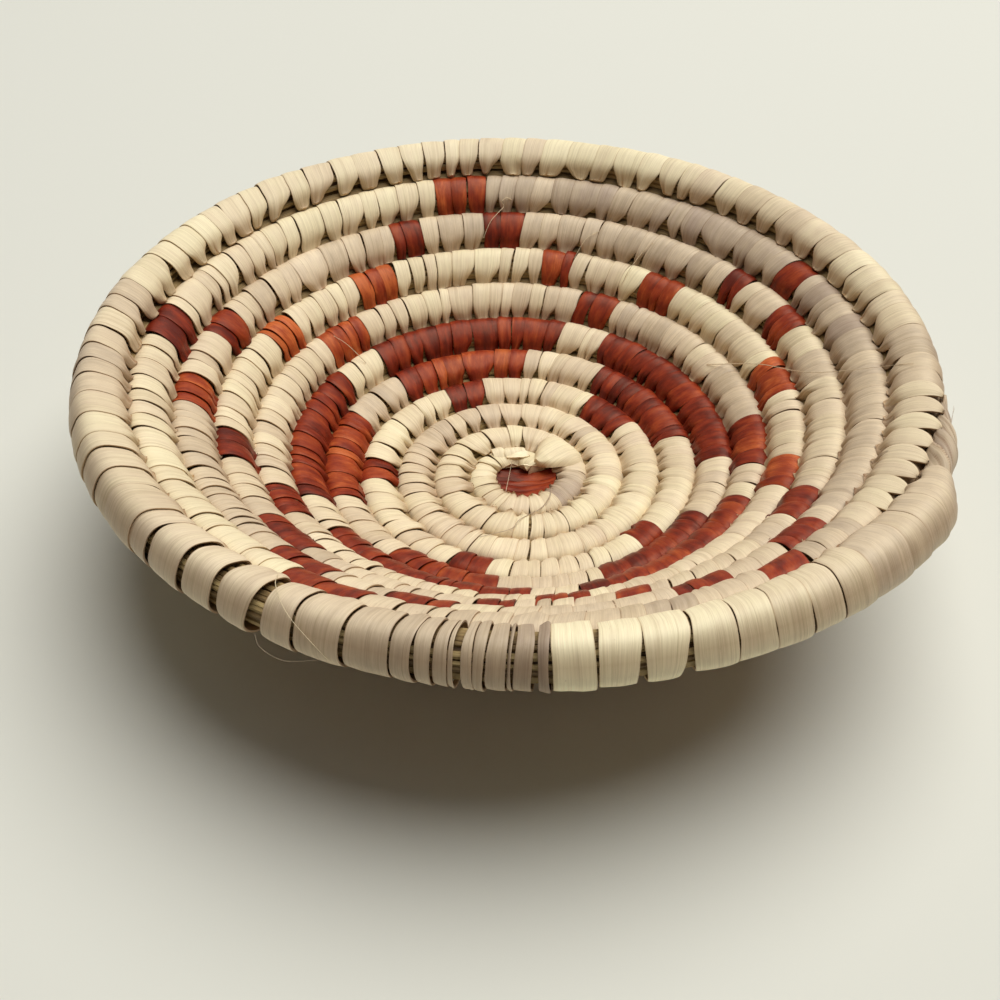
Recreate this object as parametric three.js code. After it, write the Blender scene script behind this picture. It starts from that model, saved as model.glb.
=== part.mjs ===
// Coiled basket: a shallow round bowl made of one long grass bundle, wound in a spiral and wrapped with
// flat palm leaf. Natural leaf covers most of the coil, and dyed russet leaf makes a five-armed star and
// the zigzag band round it.
// Millimetres, +Z up. The origin is under the centre of the spiral, on the surface the bowl stands on.
// +X is to the right and +Y away from someone who faces the bowl.
//
// The coil is followed in turns: a place on it is a number t, whose whole part counts the turns already
// made and whose fraction is the angle round the bowl, counter-clockwise from +X. Row n is t from n-1 to n.
import * as THREE from "three";

// Wrapped coil
const COIL_WIDTH_CENTRE = 9.4; // across the coil, along the bowl's wall, at the centre
const COIL_WIDTH_RIM = 12.2; // the same at the rim
const COIL_DEPTH_CENTRE = 8.4; // through the wall, at the centre
const COIL_DEPTH_WALL = 10.4; // the same on the last wall row
const COIL_DEPTH_RIM = 12.8; // the rim row stands a little thicker
const COIL_SHOULDER = 0.52; // width of the coil's flat top, as a part of its width
const ROW_GAP = 0.6; // between the wrapping of one row and the next

// Layers, from the outside of the coil to its middle
const LEAF = 0.7; // thickness of one wrapped layer of leaf
const LAYER_GAP = 0.3; // clearance between pieces that are nested or meet end to end
const FLOOR_FLAT = 1.0; // depth that the underside of the centre is pressed flat

// Spiral, in turns
const CENTRE_RADIUS = 4.6; // radius that the coil's middle line would have at turn 0
const START_TURN = 0.25; // the coil starts behind the knot
const RIM_TURN = 10; // the rim row follows the last wall row
const RIM_SWELL = 0.3; // turns over which the coil thickens into the rim
const END_TURN = 10.885; // the full coil ends here
const NECK_LENGTH = 0.035; // turns over which it narrows into a thin tail
const TAIL_LENGTH = 0.035; // turns that the tail runs on, against the row below
const TAIL_TIP = 2.5; // length of bare grass past the tail's wrapping
const TAIL_WIDTH = 4.2; // width of the tail
const STEPS_PER_TURN = 20;

// Side view of the bowl: the wall's slope against the floor, in degrees, and the turns where it changes
const FLOOR_TURN = 1.05; // the flat floor ends
const WALL_TURN = 6.85; // the wall has its full slope
const WALL_SLOPE = 40;
const LIP_TURN = 9.5; // the lip leans out from here
const LIP_LENGTH = 1; // turns that the lean takes
const LIP_SLOPE = 29;

// Knot that the coil starts round
const KNOT_HEIGHT = 6.2;
const KNOT_BEVEL = 1.3;
const KNOT_BEVEL_STEPS = 2;

// Russet blocks: start and end, in degrees round each row
const RUSSET_ROWS = {
  4: [[28, 53.5], [104, 122.5], [176.5, 189.5], [243.5, 258], [310.5, 321]],
  5: [[9.5, 57], [85, 135.5], [158.5, 201], [230, 262], [290, 328]],
  6: [[-8, 60.5], [74, 135.5], [149.5, 204], [217.5, 270.5], [281, 332.5]],
  7: [[-16, 2.5], [60.5, 71.5], [133.5, 147.5], [203, 214], [270.5, 281], [331.5, 342]],
  8: [[2.5, 14.5], [46.5, 56.5], [74.5, 82.5], [119, 130], [149.5, 158], [190, 199], [217, 229.5],
    [260.5, 267], [283, 289.5], [318.5, 328]],
  9: [[16, 23], [33, 38.5], [87, 96], [109.5, 116.5], [159, 167], [179.5, 188], [229.5, 239.5],
    [249, 258.5], [289, 298], [307.5, 315.5]],
  10: [[23, 29], [94.5, 105], [167.5, 176], [237.5, 248.5], [298, 305]],
};

const finish = (name, color, roughness) => (
  new THREE.MeshStandardMaterial({ name, color, roughness, metalness: 0 })
);
const NATURAL_LEAF = finish("natural_leaf", 0xd9c79f, 0.62);
const RUSSET_LEAF = finish("russet_leaf", 0x8b3a24, 0.55);
const GRASS = finish("grass", 0xa68e58, 0.85);

const SAMPLES_PER_TURN = 200; // for the lengths added up along the wall
const SAMPLES_PER_SIDE = 6; // points on each side of a section, for the least gap

const mix = (from, to, share) => from + (to - from) * share;
const smooth = (from, to, value) => THREE.MathUtils.smoothstep(value, from, to);

// Half width of the wrapped coil at turn t. It grows evenly, so each row just clears the next by ROW_GAP.
const widthGrowth = (COIL_WIDTH_RIM - COIL_WIDTH_CENTRE) / 2 / (RIM_TURN + 1);
const halfWidth = (t) => COIL_WIDTH_CENTRE / 2 + widthGrowth * t;

// Half depth of the wrapped coil at turn t
function halfDepth(t) {
  const wall = mix(COIL_DEPTH_CENTRE, COIL_DEPTH_WALL, Math.min(t / RIM_TURN, 1));
  const swell = smooth(RIM_TURN - RIM_SWELL / 2, RIM_TURN + RIM_SWELL / 2, t);
  return mix(wall, COIL_DEPTH_RIM, swell) / 2;
}

// Slope of the wall at turn t, in radians
function slope(t) {
  const wall = WALL_SLOPE * smooth(FLOOR_TURN, WALL_TURN, t);
  const lean = (WALL_SLOPE - LIP_SLOPE) * smooth(LIP_TURN, LIP_TURN + LIP_LENGTH, t);
  return THREE.MathUtils.degToRad(wall - lean);
}

// Radius and height of the coil's middle line, added up along the wall from turn 0
const route = [{ radius: CENTRE_RADIUS, height: COIL_DEPTH_CENTRE / 2 - FLOOR_FLAT }];
for (let i = 0; i < (RIM_TURN + 2) * SAMPLES_PER_TURN; i += 1) {
  const t = (i + 0.5) / SAMPLES_PER_TURN;
  const advance = (COIL_WIDTH_CENTRE + ROW_GAP + 2 * widthGrowth * t) / SAMPLES_PER_TURN;
  const last = route[i];
  route.push({
    radius: last.radius + advance * Math.cos(slope(t)),
    height: last.height + advance * Math.sin(slope(t)),
  });
}

function routeAt(t) {
  const place = t * SAMPLES_PER_TURN;
  const i = Math.min(Math.floor(place), route.length - 2);
  return {
    radius: mix(route[i].radius, route[i + 1].radius, place - i),
    height: mix(route[i].height, route[i + 1].height, place - i),
  };
}

const NECK_TURN = END_TURN + NECK_LENGTH;
const TAIL_TURN = NECK_TURN + TAIL_LENGTH;

const turnAt = (row, degrees) => row - 1 + degrees / 360;
const turnsFor = (length, t) => length / (2 * Math.PI * routeAt(t).radius);

// The coil's six-sided section, `inset` inside the outside of the wrapping: x runs along the wall and y
// through it. A tail's section is narrower and stays against the row that it lies on.
function section(t, inset, tailWidth) {
  const shrink = tailWidth ? tailWidth / (2 * halfWidth(t)) : 1;
  const width = halfWidth(t) * shrink;
  const depth = halfDepth(t) * shrink;
  const shoulder = width * (1 - COIL_SHOULDER);
  const side = Math.hypot(depth, shoulder);
  const corner = width - inset * side / depth;
  const top = width * COIL_SHOULDER + inset * (shoulder - side) / depth;
  const shift = width - halfWidth(t);
  return [
    [corner, 0], [top, depth - inset], [-top, depth - inset],
    [-corner, 0], [-top, inset - depth], [top, inset - depth],
  ].map(([x, y]) => [x + shift, y]);
}

// The section's corners in space at a station of the spiral. The underside never reaches below `inset`
// over the surface that the bowl stands on, which presses the centre flat.
function stationRing(station, inset, tailWidth) {
  const t = station / STEPS_PER_TURN;
  const angle = t * 2 * Math.PI;
  const lean = slope(t);
  const { radius, height } = routeAt(t);
  return section(t, inset, tailWidth).map(([x, y]) => {
    const out = radius + x * Math.cos(lean) - y * Math.sin(lean);
    const up = height + x * Math.sin(lean) + y * Math.cos(lean);
    return new THREE.Vector3(out * Math.cos(angle), out * Math.sin(angle), Math.max(up, inset));
  });
}

// The same at any turn. Between stations every layer is straight, so nested layers keep their clearance.
function ring(t, inset, tailWidth) {
  const place = t * STEPS_PER_TURN;
  const station = Math.floor(place + 1e-9);
  const share = place - station;
  const here = stationRing(station, inset, tailWidth);
  if (share < 1e-6) return here;
  const next = stationRing(station + 1, inset, tailWidth);
  return here.map((corner, i) => corner.lerp(next[i], share));
}

// Turns at which a piece from one turn to another has a ring: its ends and the stations between them
function ringTurns(from, to) {
  const turns = [from];
  for (let k = Math.ceil(from * STEPS_PER_TURN + 1e-6); k < to * STEPS_PER_TURN - 1e-6; k += 1) {
    turns.push(k / STEPS_PER_TURN);
  }
  turns.push(to);
  return turns;
}

// A closed body from the rings of its outside and, where it is hollow, those of its bore
function bodyFromRings(outside, bore) {
  const corners = [];
  const faces = [];
  const sides = outside[0].length;
  const addSkin = (rings, inward) => {
    const first = corners.length / 3;
    rings.forEach((points) => points.forEach((p) => corners.push(p.x, p.y, p.z)));
    for (let i = 0; i < rings.length - 1; i += 1) {
      for (let j = 0; j < sides; j += 1) {
        const a = first + i * sides + j;
        const b = first + i * sides + (j + 1) % sides;
        const [c, d] = [a + sides, b + sides];
        if (inward) faces.push(a, b, c, c, b, d);
        else faces.push(a, c, b, c, d, b);
      }
    }
    return [first, first + (rings.length - 1) * sides];
  };
  const [outStart, outEnd] = addSkin(outside, false);
  if (bore) {
    const [boreStart, boreEnd] = addSkin(bore, true);
    for (let j = 0; j < sides; j += 1) {
      const k = (j + 1) % sides;
      faces.push(outStart + j, outStart + k, boreStart + j, boreStart + j, outStart + k, boreStart + k);
      faces.push(outEnd + j, boreEnd + j, outEnd + k, boreEnd + j, boreEnd + k, outEnd + k);
    }
  } else {
    for (let j = 1; j < sides - 1; j += 1) {
      faces.push(outStart, outStart + j, outStart + j + 1);
      faces.push(outEnd, outEnd + j + 1, outEnd + j);
    }
  }
  const geometry = new THREE.BufferGeometry();
  geometry.setAttribute("position", new THREE.Float32BufferAttribute(corners, 3));
  geometry.setIndex(faces);
  geometry.computeVertexNormals();
  return geometry;
}

function piece(name, geometry, material) {
  const mesh = new THREE.Mesh(geometry, material);
  mesh.name = name;
  return mesh;
}

// Insets of the layers under the outside of the wrapping
const CARRIED_INSET = LEAF + LAYER_GAP; // natural leaf that runs on under a russet block
const NATURAL_BORE = 2 * LEAF + LAYER_GAP;
const CORE_INSET = NATURAL_BORE + LAYER_GAP;
const TAIL_CORE_INSET = LEAF + LAYER_GAP; // the tail has one layer of leaf

// The russet blocks as turns, in the order that the coil meets them
const blocks = Object.entries(RUSSET_ROWS).flatMap(([row, ranges]) => ranges.map(([start, end], i) => ({
  name: `russet_wrap_row${row.padStart(2, "0")}_${String(i + 1).padStart(2, "0")}`,
  from: turnAt(Number(row), start),
  to: turnAt(Number(row), end),
})));

function foundationCoil() {
  const turns = ringTurns(START_TURN, END_TURN);
  const rings = turns.map((t) => ring(t, CORE_INSET));
  const tip = TAIL_TURN + turnsFor(TAIL_TIP, TAIL_TURN);
  [...tailTurns(END_TURN), tip].forEach((t) => rings.push(ring(t, TAIL_CORE_INSET, tailWidthAt(t))));
  return piece("foundation_coil", bodyFromRings(rings), GRASS);
}

function tailWidthAt(t) {
  return mix(2 * halfWidth(END_TURN), TAIL_WIDTH, Math.min((t - END_TURN) / NECK_LENGTH, 1));
}

// Turns at which a piece of the tail has a ring after its start at turn `from`
function tailTurns(from) {
  return [...ringTurns(from, NECK_TURN).slice(1), ...ringTurns(NECK_TURN, TAIL_TURN).slice(1)];
}

// Natural leaf over one row. Under each russet block it runs on as a thin layer, as the maker carries it.
function naturalWrap(row) {
  const start = Math.max(row - 1, START_TURN);
  const stop = Math.min(row, END_TURN);
  const from = start + (row > 1 ? turnsFor(LAYER_GAP, start) / 2 : 0);
  const to = stop - turnsFor(LAYER_GAP, stop) / 2;
  const outside = [];
  let place = from;
  const run = (end, inset) => {
    ringTurns(place, end).forEach((t) => outside.push(ring(t, inset)));
    place = end;
  };
  blocks.filter((block) => block.to > from && block.from < to).forEach((block) => {
    if (block.from > place) run(block.from, 0);
    run(Math.min(block.to, to), CARRIED_INSET);
  });
  if (place < to) run(to, 0);
  const bore = ringTurns(from, to).map((t) => ring(t, NATURAL_BORE));
  const name = `natural_wrap_row${String(row).padStart(2, "0")}`;
  return piece(name, bodyFromRings(outside, bore), NATURAL_LEAF);
}

function russetWrap({ name, from, to }) {
  const turns = ringTurns(from + turnsFor(LAYER_GAP, from), to - turnsFor(LAYER_GAP, to));
  const outside = turns.map((t) => ring(t, 0));
  const bore = turns.map((t) => ring(t, LEAF));
  return piece(name, bodyFromRings(outside, bore), RUSSET_LEAF);
}

// Leaf that binds the tapered end of the coil
function tailWrap() {
  const from = END_TURN + turnsFor(LAYER_GAP, END_TURN) / 2;
  const later = tailTurns(from);
  const outside = [ring(from, 0), ...later.map((t) => ring(t, 0, tailWidthAt(t)))];
  const bore = [ring(from, NATURAL_BORE), ...later.map((t) => ring(t, LEAF, tailWidthAt(t)))];
  return piece("tail_wrap", bodyFromRings(outside, bore), NATURAL_LEAF);
}

// The knot fills the space that the first turn leaves, and its flat underside holds the origin. Its outline
// follows the inside of that turn and ends at the coil's blunt start.
function startKnot() {
  const margin = LAYER_GAP + KNOT_BEVEL;
  const outline = new THREE.Shape();
  const stations = ringTurns(START_TURN, START_TURN + 1).slice(1, -1);
  stations.forEach((t, i) => {
    const facet = Math.cos(Math.PI / STEPS_PER_TURN);
    const radius = (routeAt(t).radius - halfWidth(t)) * facet - margin;
    const x = radius * Math.cos(t * 2 * Math.PI);
    const y = radius * Math.sin(t * 2 * Math.PI);
    if (i) outline.lineTo(x, y);
    else outline.moveTo(x, y);
  });
  const startRadius = routeAt(START_TURN).radius - halfWidth(START_TURN);
  outline.lineTo(margin, Math.max(startRadius - margin, 0));
  outline.closePath();
  const geometry = new THREE.ExtrudeGeometry(outline, {
    depth: KNOT_HEIGHT - 2 * KNOT_BEVEL,
    bevelSize: KNOT_BEVEL,
    bevelThickness: KNOT_BEVEL,
    bevelSegments: KNOT_BEVEL_STEPS,
  });
  const knot = piece("start_knot", geometry, RUSSET_LEAF);
  knot.position.z = KNOT_BEVEL;
  return knot;
}

// Least distance between one turn and the next, on points along the section at and between the stations
function leastGap(inset) {
  const outlineAt = (t) => {
    const points = [];
    ring(t, inset).forEach((corner, i, all) => {
      for (let k = 0; k < SAMPLES_PER_SIDE; k += 1) {
        points.push(corner.clone().lerp(all[(i + 1) % all.length], k / SAMPLES_PER_SIDE));
      }
    });
    return points;
  };
  const stride = 0.5 / STEPS_PER_TURN;
  let least = Infinity;
  for (let t = START_TURN; t + 1 < END_TURN - stride; t += stride) {
    const inner = outlineAt(t);
    [-stride, 0, stride].forEach((shift) => {
      const outer = outlineAt(t + 1 + shift);
      inner.forEach((p) => outer.forEach((q) => { least = Math.min(least, p.distanceTo(q)); }));
    });
  }
  return least;
}

const basket = new THREE.Group();
basket.name = "coiled_basket";
basket.add(startKnot());
basket.add(foundationCoil());
for (let row = 1; row <= RIM_TURN + 1; row += 1) basket.add(naturalWrap(row));
blocks.forEach((block) => basket.add(russetWrap(block)));
basket.add(tailWrap());

console.log(`least gap of the foundation coil to itself: ${leastGap(CORE_INSET).toFixed(2)} mm`);
console.log(`least gap of the wrapped coil to itself: ${leastGap(0).toFixed(2)} mm`);

export default basket;
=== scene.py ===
"""The look of the coiled basket: every turn of palm leaf, the grass stems under it, the knot, the frayed
tail and the loose fibres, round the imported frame. Sizes are in millimetres up to the point where a mesh is
made, in metres."""
import math

import bpy
import numpy as np
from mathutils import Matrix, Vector


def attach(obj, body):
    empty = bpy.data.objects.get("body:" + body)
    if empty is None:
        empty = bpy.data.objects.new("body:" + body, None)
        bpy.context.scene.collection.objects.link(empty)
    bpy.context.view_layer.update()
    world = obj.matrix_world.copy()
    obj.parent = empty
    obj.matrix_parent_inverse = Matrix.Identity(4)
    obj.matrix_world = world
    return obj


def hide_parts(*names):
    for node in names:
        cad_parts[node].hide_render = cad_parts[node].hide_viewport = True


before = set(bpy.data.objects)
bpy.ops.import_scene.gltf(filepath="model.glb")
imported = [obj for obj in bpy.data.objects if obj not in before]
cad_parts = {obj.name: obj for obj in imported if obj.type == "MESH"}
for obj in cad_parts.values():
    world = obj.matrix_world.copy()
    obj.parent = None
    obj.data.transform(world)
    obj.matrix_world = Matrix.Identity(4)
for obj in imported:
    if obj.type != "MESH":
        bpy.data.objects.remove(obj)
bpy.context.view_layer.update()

MM = 0.001
SEED = 20
RUSSET_SEED = SEED + 100
KNOT_SEED = SEED + 300
TAIL_SEED = SEED + 400
STEM_SEED = SEED + 500

# The coil, as the part's own source has it
COIL_WIDTH_CENTRE = 9.4
COIL_WIDTH_RIM = 12.2
COIL_DEPTH_CENTRE = 8.4
COIL_DEPTH_WALL = 10.4
COIL_DEPTH_RIM = 12.8
ROW_GAP = 0.6
FLOOR_FLAT = 1.0
CENTRE_RADIUS = 4.6
START_TURN = 0.25
RIM_TURN = 10
RIM_SWELL = 0.3
END_TURN = 10.885
NECK_LENGTH = 0.035
TAIL_LENGTH = 0.035
TAIL_WIDTH = 4.2
FLOOR_TURN = 1.05
WALL_TURN = 6.85
WALL_SLOPE = 40
LIP_TURN = 9.5
LIP_LENGTH = 1
LIP_SLOPE = 29
SAMPLES_PER_TURN = 400
NECK_TURN = END_TURN + NECK_LENGTH
TAIL_TURN = NECK_TURN + TAIL_LENGTH
LAST_ROW = RIM_TURN + 1
WIDTH_GROWTH = (COIL_WIDTH_RIM - COIL_WIDTH_CENTRE) / 2 / LAST_ROW  # of half the width, in each turn
GROUND = 0.02  # the least height of any point over the floor

# Shape of the leaf strips
LEAF_THICKNESS = 0.38
LEAF_SWELL = 0.4  # how far the strips fill the gap between rows
START_THIN = 1.8  # how much narrower the first turn is
START_DIP = 1.1  # and how much lower
START_GROWS = (0.7, 1.5)  # the turns between which it comes to full size
LEAF_START = 0.1  # the first strips cover the coil's blunt start
SQUARENESS = 2.3  # of the wrapped coil's section: 2 would be an ellipse
RIM_SQUARENESS = 2.7
RIM_SQUARES = (RIM_TURN - 0.1, RIM_TURN + 0.3)
TIP_ANGLES = (9, 11, 14, 18, 24, 32)  # degrees from the valley with the row before: points along a tip
STRIP_ANGLES = 33  # and rings of points between the tips
STRIP_PLACES = (-1, -0.94, -0.8, -0.6, -0.4, -0.2, 0, 0.2, 0.4, 0.6, 0.8, 0.94, 1)
CREASE_WIDTH = 0.13  # of a fold that starts at a tip, as a part of half a strip's width
CREASE_DEPTH = 0.5
PLEAT_DEPTH = 0.4
UNDER_PLACE = 0.97  # of the two points under its edges
STRIP_LEAN = 0.16  # how far its tip runs ahead, as a part of its width
TIP_ANGLE = 34  # degrees from the valley at which a strip's tip leaves its own row
TIP_REACH = 1.5  # how far the tip goes past the row's edge, onto the row before
TIP_RISE = 2.1  # of the tip's end over the coil's middle
TIP_ROUND = 8  # degrees over which its end is rounded
TIP_ROLL = 1.0  # how far a gathered strip's edges are rolled in
FLAP_ANGLE = 112  # where a strip that ends in a flap leaves the coil, and where the flap ends
FLAP_END = 176
FLAP_REACH = 2.5
FLAP_RISE = 3.2
FLAP_CROWN = 0.3
FLAP_TAPER = 0.97
FLAP_CURVES = (1.25, 2, 1.4)  # powers by which it narrows, leans and rises
LINING_SINK = 0.5  # of the strips under the flaps
STRIP_CROWN = 0.17
STRIP_TILT = 0.14
STRIP_SINK = 0.34  # mean depth of the strips in the part's own solid
EDGE_WANDER = 0.16
LUMP_DEPTH = 0.12
TIP_CROWN = 3.5  # how much more a strip is crowned where it gathers
NOTCH = 0.3  # what it may lose in the valley with the next row, as a part of its width
RIM_NOTCH = 0.04
SLANT_ANGLES = (130, 240)
LEAN_DRIFT = 0.07  # from strip to strip
BOW_DRIFT = 0.12
DRIFT_STEPS = 5
RUSSET_WIDTH = 5.2

# What each strip draws for itself, from a range with these ends
GATHER_SPAN = (46, 92)  # degrees over which a strip gathers to its tip
GATHER_CURVE = (1.1, 2.0)
PINCH_SPAN = (18, 46)  # and over which it narrows to the valley with the next row
PINCH_CURVE = (1.0, 2.0)
TIP_SIDE = (0.05, 0.95)  # the share of it that the strip's first edge loses
PINCH_SIDE = (0.1, 0.9)
WANDER_WAVES = (1.0, 2.4)
BOW_PHASE = (-0.5, 0.5)
ANY_PHASE = (0, 6)
CROWNS = (0.4, 1.6)
TILTS = (0.3, 1.7)
FOLD_DEPTHS = (0.1, 0.5)
FOLD_WAVES = (2.5, 6.0)
ROLLS = (0.4, 1.2)
CREASE_PLACES = (-0.6, 0.6)
PLEAT_PLACES = (-0.7, 0.7)
LEVELS = (-0.14, 0.12)
TIP_REACHES = (0.6, 1.3)
FLAP_REACHES = (0.7, 1.2)
FLAP_RISES = (0.9, 1.1)
GRAIN_STARTS = (0, 100)  # so that no two strips have the same grain

# Painted shade, from 0 to 1: how darkly a point is painted in the valleys with the rows before and after,
# along strip edges, in creases and beside pleats, and the degrees over which that fades
TIP_PAINTED_SHADE, TIP_SPAN, TIP_CURVE = 0.7, 78, 1.2
NEXT_PAINTED_SHADE, NEXT_SPAN = 0.5, 40
EDGE_PAINTED_SHADE, EDGE_PLACE = 0.6, 0.95
CREASE_PAINTED_SHADE = 0.55
PLEAT_PAINTED_SHADE = 0.6

# Runs of strips side by side, in millimetres
LEAST_RUN = 0.6
OVERLAP_SHARE = 0.55
OVERLAPS = (-0.6, -0.15)
SLITS = (0.0, 0.16)
OPEN_GAPS = (0.25, 0.6)
END_GAP = 0.03
PARTED = 0.1  # the share of gaps that is open
UNEVENNESS = 0.25
RIM_UNEVENNESS = 0.16
TONE_SPREAD = 0.1
SHADE_SPREAD = 0.035
NATURAL_TIPS = (0.3, 0.95)
RIM_TIPS = (0.12, 0.72)
FIRST_TIPS = (0.8, 1.0)
TIP_MIX = (1.4, 1.8)
RUSSET_UNEVENNESS = 0.3
RUSSET_TONE_SPREAD = 0.12
RUSSET_SHADE_SPREAD = 0.05
RUSSET_TIPS = (0.5, 0.95)
RUSSET_NOTCH = 0.15

# Natural strips in each row: from which degree, the tone (0 grey, 0.5 pinkish beige, 1 yellow cream) and
# the strips' mean width
NATURAL_STRETCHES = {
    1: [(0, 0.95, 4.6), (90, 0.9, 3.6), (150, 0.8, 3.4), (230, 0.65, 3.0), (300, 0.15, 3.0)],
    2: [(0, 0.75, 5.2), (80, 0.85, 5.6), (150, 0.65, 4.8), (250, 0.8, 4.4)],
    3: [(0, 0.65, 5.0), (70, 0.5, 5.4), (150, 0.6, 4.8), (250, 0.75, 4.6)],
    4: [(0, 0.7, 5.0), (122, 0.85, 6.2), (189, 0.7, 5.2), (262, 0.75, 4.6)],
    # from 134 degrees the strips are set grey and dark: partly their own colour, partly painted shade
    5: [(0, 0.6, 5.0), (134, 0.3, 5.2), (200, 0.55, 5.0), (262, 0.6, 4.6)],
    6: [(0, 0.7, 5.4), (133, 0.8, 5.6), (203, 0.65, 5.0), (271, 0.6, 4.8)],
    7: [(0, 0.45, 5.2), (71, 0.65, 5.2), (147, 0.6, 4.8), (214, 0.7, 5.0), (281, 0.6, 5.2)],
    8: [(0, 0.8, 5.4), (56, 0.6, 5.2), (82, 0.72, 5.0), (130, 0.72, 5.2), (199, 0.5, 5.4), (290, 0.6, 5.4)],
    9: [(0, 0.55, 6.0), (38, 0.35, 5.6), (96, 0.5, 5.8), (167, 0.4, 5.0), (239, 0.55, 5.8), (315, 0.4, 5.8)],
    10: [(0, 0.2, 6.4), (29, 0.16, 6.8), (98, 0.85, 7.4), (140, 0.65, 6.6), (195, 0.95, 6.8),
         (248, 0.45, 6.2), (305, 0.5, 6.6)],
    # from 55 degrees the strips' cream is set a little lighter, as painted light where less lamp light falls
    11: [(0, 0.7, 7.6), (55, 1.0, 7.8), (80, 0.75, 7.4), (110, 0.85, 7.4), (140, 0.9, 7.8), (165, 0.45, 7.0),
         (190, 0.6, 8.2), (305, 0.55, 8.0)],
}

# The strips of the rim's front, which the photograph shows one by one: start and end in degrees, tone, shade,
# and how much the strip's end slants in towards the bottom. Stems show in the wider gaps between them.
RIM_FRONT = [
    (224.9, 229.9, 0.6, 1.06, 0.04), (230.5, 234.9, 0.6, 1.06, 0.1), (235.7, 240.2, 0.55, 1.04, 0.22),
    (241.3, 245.0, 0.5, 1.04, 0.05), (245.3, 250.3, 0.5, 1.03, 0), (250.5, 255.1, 0.35, 1.0, 0),
    (255.3, 257.5, 0.3, 1.0, 0), (257.7, 259.3, 0.35, 1.0, 0), (259.5, 260.8, 0.3, 0.98, 0),
    (260.9, 261.4, 0.3, 1.0, 0), (262.2, 263.2, 0.3, 0.97, 0), (263.3, 264.4, 0.3, 0.95, 0),
    (264.6, 266.4, 0.25, 0.95, 0), (266.6, 267.0, 0.2, 0.9, 0), (267.1, 268.8, 0.15, 0.9, 0),
    (269.4, 270.5, 0.0, 0.86, 0), (270.6, 274.8, 1.0, 1.12, 0.02), (275.3, 279.7, 0.95, 1.1, 0.2),
    (279.8, 284.6, 0.95, 1.1, 0.34), (284.8, 289.2, 0.9, 1.08, 0), (289.3, 293.4, 0.85, 1.05, 0),
    (293.5, 297.6, 0.75, 1.02, 0), (297.7, 301.4, 0.7, 1.02, 0), (301.5, 305.7, 0.65, 1.0, 0),
]
RIM_FRONT_TIPS = (0.7, 0.95)
RIM_FRONT_NOTCH = 0.05

# Pointed ends of the leaf that crosses from the row inside over the tail: each tip's place in degrees
TAIL_FLAPS = (316.9, 320.5, 324.1, 327.6, 331.1, 334.8, 338.4, 342.0)
FLAP_LEAN = 0.8  # degrees from a tip back to the strip that it belongs to
FLAP_SPAN = 3.5
FLAP_TONE = 0.66
FLAP_TONE_SPREAD = 0.06
FLAP_TIPS = (0.5, 0.9)
LINING_TONE = 0.35
LINING_SHADE = 0.85
LINING_TIP = 0.9

# Russet blocks, row by row: how orange the dye came out (0 dark maroon, 1 orange-brown)
RUSSET_PREFIX = "russet_wrap_row"
RUSSET_TONES = {
    4: (0.3, 0.45, 0.35, 0.2, 0.35),
    5: (0.3, 0.5, 0.55, 0.5, 0.3),
    6: (0.3, 0.35, 0.35, 0.35, 0.3),
    7: (0.4, 0.5, 0.7, 0.3, 0.4, 0.75),
    8: (0.6, 0.55, 0.6, 0.75, 0.95, 0.3, 0.4, 0.35, 0.35, 0.3),
    9: (0.3, 0.25, 0.3, 0.25, 0.4, 0.7, 0.4, 0.4, 0.35, 0.3),
    10: (0.25, 0.55, 0.3, 0.4, 0.4),
}

# Camera, fitted to the rows and the outline in the photograph
PHOTO_PIXELS = 1000
PHOTO_FOCAL_PIXELS = 1200
SENSOR_WIDTH = 36
CAMERA_TARGET = (-5.9, -8.9, 3.2)
CAMERA_DISTANCE = 342.8
CAMERA_ELEVATION = 42.17
CAMERA_AZIMUTH = -1.66
CAMERA_CLIP = (0.01, 20)

# Floor and light. The world's own light is weak, but it is seen bright behind the bowl and in its gloss
FLOOR_HALF = 1.6
LIGHT_TARGET = (0, 0, 0.03)
WORLD_COLOUR = (0.92, 0.95, 1.0)
WORLD_LIGHT = 0.04
WORLD_SEEN = 0.72


def mix(start, end, share):
    return start + (end - start) * share


def smooth(low, high, value):
    share = np.clip((value - low) / (high - low), 0, 1)
    return share * share * (3 - 2 * share)


def half_width(turn):
    return COIL_WIDTH_CENTRE / 2 + WIDTH_GROWTH * turn


def half_depth(turn):
    wall = mix(COIL_DEPTH_CENTRE, COIL_DEPTH_WALL, np.minimum(turn / RIM_TURN, 1))
    swell = smooth(RIM_TURN - RIM_SWELL / 2, RIM_TURN + RIM_SWELL / 2, turn)
    return mix(wall, COIL_DEPTH_RIM, swell) / 2


def slope(turn):
    wall = WALL_SLOPE * smooth(FLOOR_TURN, WALL_TURN, turn)
    lean = (WALL_SLOPE - LIP_SLOPE) * smooth(LIP_TURN, LIP_TURN + LIP_LENGTH, turn)
    return np.radians(wall - lean)


def measure_route():
    """Radius and height of the coil's middle line, added up along the wall."""
    turns = np.arange((RIM_TURN + 2) * SAMPLES_PER_TURN + 1) / SAMPLES_PER_TURN
    middle = (turns[1:] + turns[:-1]) / 2
    advance = (COIL_WIDTH_CENTRE + ROW_GAP + 2 * WIDTH_GROWTH * middle) / SAMPLES_PER_TURN
    radius = CENTRE_RADIUS + np.concatenate([[0], np.cumsum(advance * np.cos(slope(middle)))])
    height = np.concatenate([[0], np.cumsum(advance * np.sin(slope(middle)))])
    return turns, radius, height + COIL_DEPTH_CENTRE / 2 - FLOOR_FLAT


ROUTE_TURNS, ROUTE_RADIUS, ROUTE_HEIGHT = measure_route()


def radius_at(turn):
    return np.interp(turn, ROUTE_TURNS, ROUTE_RADIUS)


def height_at(turn):
    return np.interp(turn, ROUTE_TURNS, ROUTE_HEIGHT)


def turns_for(length, turn):
    return length / (math.tau * radius_at(turn))


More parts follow.
